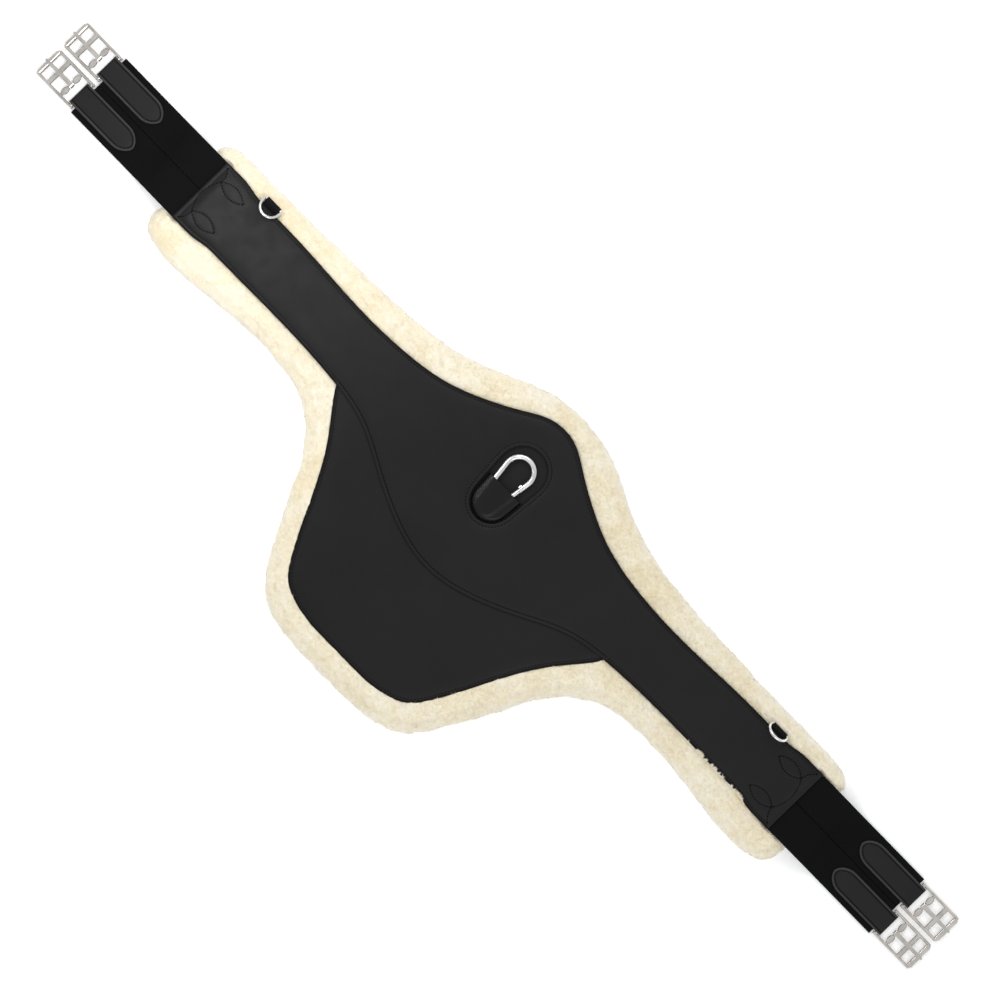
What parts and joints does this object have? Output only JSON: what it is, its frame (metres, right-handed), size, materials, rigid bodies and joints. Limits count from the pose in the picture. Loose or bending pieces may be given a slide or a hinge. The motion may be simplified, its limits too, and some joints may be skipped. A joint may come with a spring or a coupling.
{
  "type": "saddle girth",
  "caption": "Long black leather girth with a belly guard, fleece lining, a snap hook at mid-length, side rings and pairs of elastic ends with roller buckles.",
  "frame": {"origin": "mid-length and mid-strap, on the fleece's underside, where the girth lies flat", "axes": "+X along the girth, +Y towards the edge with the side rings, which lies towards the horse's front legs, +Z away from the horse"},
  "size_m": [1.261, 0.366, 0.0429],
  "materials": {
    "saddle_leather": "matte black vegetable-tanned leather, fine grain",
    "lining_leather": "black lining leather",
    "fleece": "cream long-pile fleece",
    "fleece_backing": "knitted backing",
    "foam": "closed-cell foam",
    "webbing": "woven polyester webbing",
    "elastic": "ribbed black girth elastic",
    "steel": "polished stainless steel"
  },
  "bodies": {
    "root": {"fleece_pad": "fleece", "fleece_backing": "fleece_backing", "lining_panel": "lining_leather", "main_panel": "saddle_leather", "guard_panel": "saddle_leather", "foam_core": "foam", "guard_foam": "foam", "core_webbing": "webbing", "recess_liner": "lining_leather", "dee_loop_left": "webbing", "dee_loop_right": "webbing", "elastic_left_front": "elastic", "elastic_left_rear": "elastic", "elastic_right_front": "elastic", "elastic_right_rear": "elastic"},
    "strap_end_left_front": {"chape_left_front": "saddle_leather"},
    "buckle_left_front": {"buckle_frame_left_front": "steel"},
    "roller_left_front": {"buckle_roller_left_front": "steel"},
    "tongue_left_front": {"buckle_tongue_left_front": "steel"},
    "strap_end_left_rear": {"chape_left_rear": "saddle_leather"},
    "buckle_left_rear": {"buckle_frame_left_rear": "steel"},
    "roller_left_rear": {"buckle_roller_left_rear": "steel"},
    "tongue_left_rear": {"buckle_tongue_left_rear": "steel"},
    "strap_end_right_front": {"chape_right_front": "saddle_leather"},
    "buckle_right_front": {"buckle_frame_right_front": "steel"},
    "roller_right_front": {"buckle_roller_right_front": "steel"},
    "tongue_right_front": {"buckle_tongue_right_front": "steel"},
    "strap_end_right_rear": {"chape_right_rear": "saddle_leather"},
    "buckle_right_rear": {"buckle_frame_right_rear": "steel"},
    "roller_right_rear": {"buckle_roller_right_rear": "steel"},
    "tongue_right_rear": {"buckle_tongue_right_rear": "steel"},
    "side_ring_left": {"dee_ring_left": "steel"},
    "side_ring_right": {"dee_ring_right": "steel"},
    "snap_hook": {"hook_tab": "saddle_leather", "hook_body": "steel", "hook_rivet": "steel"},
    "hook_gate": {"hook_gate": "steel"}
  },
  "joints": [
    {"name": "stretch_left_front", "type": "slide", "parent": "root", "child": "strap_end_left_front", "axis": [-1, 0, 0], "range_m": [0, 0.045], "stiffness_N_per_m": 1500, "deforming": ["elastic_left_front"]},
    {"name": "buckle_swing_left_front", "type": "hinge", "parent": "strap_end_left_front", "child": "buckle_left_front", "pos_m": [-0.58, 0.0194, 0.00325], "axis": [0, 1, 0], "range_deg": [0, 90]},
    {"name": "tongue_lift_left_front", "type": "hinge", "parent": "buckle_left_front", "child": "tongue_left_front", "pos_m": [-0.5945, 0.0194, 0.00325], "axis": [0, 1, 0], "range_deg": [0, 95]},
    {"name": "roller_spin_left_front", "type": "hinge", "parent": "buckle_left_front", "child": "roller_left_front", "pos_m": [-0.6265, 0.0194, 0.00325], "axis": [0, 1, 0], "continuous": true},
    {"name": "stretch_left_rear", "type": "slide", "parent": "root", "child": "strap_end_left_rear", "axis": [-1, 0, 0], "range_m": [0, 0.045], "stiffness_N_per_m": 1500, "deforming": ["elastic_left_rear"]},
    {"name": "buckle_swing_left_rear", "type": "hinge", "parent": "strap_end_left_rear", "child": "buckle_left_rear", "pos_m": [-0.58, -0.0194, 0.00325], "axis": [0, 1, 0], "range_deg": [0, 90]},
    {"name": "tongue_lift_left_rear", "type": "hinge", "parent": "buckle_left_rear", "child": "tongue_left_rear", "pos_m": [-0.5945, -0.0194, 0.00325], "axis": [0, 1, 0], "range_deg": [0, 95]},
    {"name": "roller_spin_left_rear", "type": "hinge", "parent": "buckle_left_rear", "child": "roller_left_rear", "pos_m": [-0.6265, -0.0194, 0.00325], "axis": [0, 1, 0], "continuous": true},
    {"name": "stretch_right_front", "type": "slide", "parent": "root", "child": "strap_end_right_front", "axis": [1, 0, 0], "range_m": [0, 0.045], "stiffness_N_per_m": 1500, "deforming": ["elastic_right_front"]},
    {"name": "buckle_swing_right_front", "type": "hinge", "parent": "strap_end_right_front", "child": "buckle_right_front", "pos_m": [0.58, 0.0194, 0.00325], "axis": [0, -1, 0], "range_deg": [0, 90]},
    {"name": "tongue_lift_right_front", "type": "hinge", "parent": "buckle_right_front", "child": "tongue_right_front", "pos_m": [0.5945, 0.0194, 0.00325], "axis": [0, -1, 0], "range_deg": [0, 95]},
    {"name": "roller_spin_right_front", "type": "hinge", "parent": "buckle_right_front", "child": "roller_right_front", "pos_m": [0.6265, 0.0194, 0.00325], "axis": [0, -1, 0], "continuous": true},
    {"name": "stretch_right_rear", "type": "slide", "parent": "root", "child": "strap_end_right_rear", "axis": [1, 0, 0], "range_m": [0, 0.045], "stiffness_N_per_m": 1500, "deforming": ["elastic_right_rear"]},
    {"name": "buckle_swing_right_rear", "type": "hinge", "parent": "strap_end_right_rear", "child": "buckle_right_rear", "pos_m": [0.58, -0.0194, 0.00325], "axis": [0, -1, 0], "range_deg": [0, 90]},
    {"name": "tongue_lift_right_rear", "type": "hinge", "parent": "buckle_right_rear", "child": "tongue_right_rear", "pos_m": [0.5945, -0.0194, 0.00325], "axis": [0, -1, 0], "range_deg": [0, 95]},
    {"name": "roller_spin_right_rear", "type": "hinge", "parent": "buckle_right_rear", "child": "roller_right_rear", "pos_m": [0.6265, -0.0194, 0.00325], "axis": [0, -1, 0], "continuous": true},
    {"name": "ring_swing_left", "type": "hinge", "parent": "root", "child": "side_ring_left", "pos_m": [-0.365, 0.042, 0.028], "axis": [-1, 0, 0], "range_deg": [0, 160]},
    {"name": "ring_swing_right", "type": "hinge", "parent": "root", "child": "side_ring_right", "pos_m": [0.365, 0.0385, 0.028], "axis": [-1, 0, 0], "range_deg": [0, 128]},
    {"name": "hook_lift", "type": "hinge", "parent": "root", "child": "snap_hook", "pos_m": [0, -0.029, 0.031], "axis": [1, 0, 0], "range_deg": [0, 90]},
    {"name": "gate_swing", "type": "hinge", "parent": "snap_hook", "child": "hook_gate", "pos_m": [0.00751, -0.01242, 0.02845], "axis": [0, 0, 1], "range_deg": [0, 25], "stiffness_Nm_per_rad": 0.02, "springref_deg": -11.46}
  ]
}
